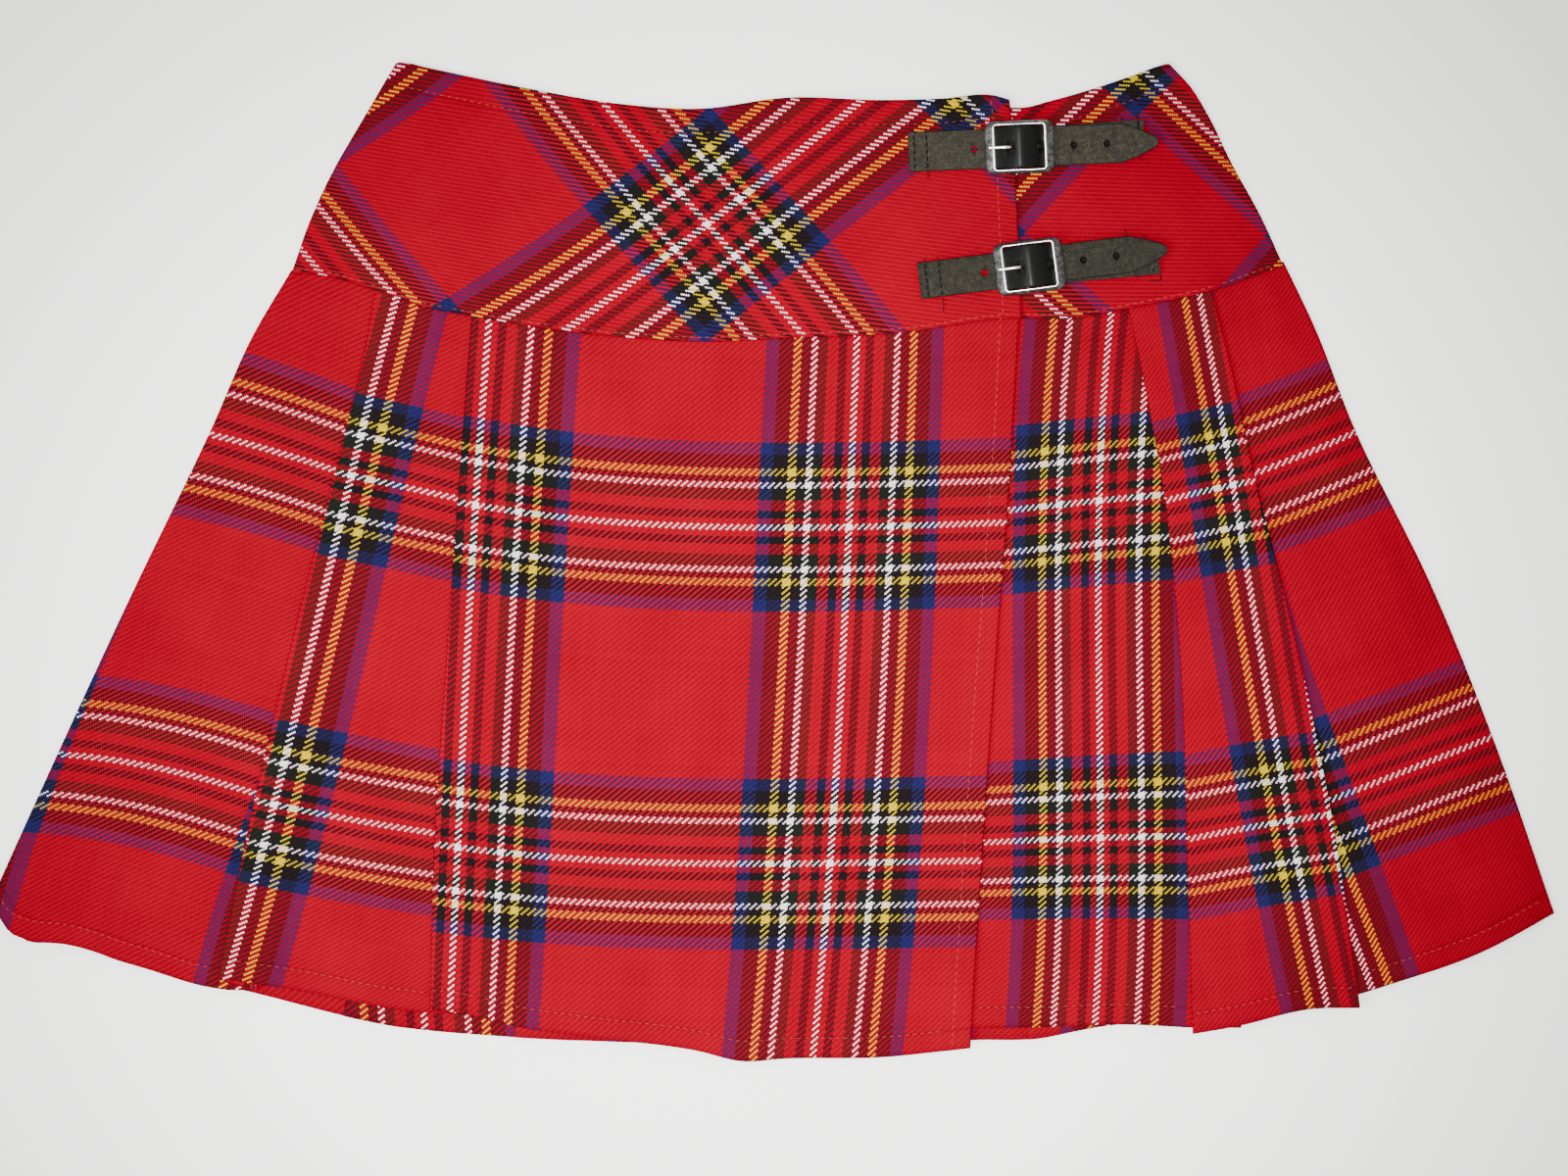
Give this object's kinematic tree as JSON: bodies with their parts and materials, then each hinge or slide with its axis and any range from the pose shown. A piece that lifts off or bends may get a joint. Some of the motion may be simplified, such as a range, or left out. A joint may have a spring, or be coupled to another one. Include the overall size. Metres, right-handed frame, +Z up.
{
  "type": "tartan skirt",
  "caption": "Red tartan mini kilt laid flat: bias-cut hip yoke, pleated skirt, wrap-over apron and buckled leather straps at the hip.",
  "frame": {"origin": "middle of the outline's bounding box, on the surface the skirt lies on", "axes": "+X to the right of the front as seen, +Y towards the waist, +Z up out of the front"},
  "size_m": [0.6704, 0.4284, 0.0145],
  "materials": {
    "red_tartan": "matt two-by-two wool twill, woven in a red check with blue, black, green, yellow and white lines",
    "black_leather": "grained, low sheen",
    "pewter": "cast, softly polished"
  },
  "bodies": {
    "root": {"yoke_front_over": "red_tartan", "yoke_front_under": "red_tartan", "yoke_back": "red_tartan", "skirt_front_over": "red_tartan", "skirt_front_under": "red_tartan", "skirt_back": "red_tartan", "strap_upper": "black_leather", "strap_lower": "black_leather", "chape_upper": "black_leather", "chape_lower": "black_leather", "buckle_upper": "pewter", "buckle_lower": "pewter", "prong_upper": "pewter", "prong_lower": "pewter"}
  },
  "joints": []
}
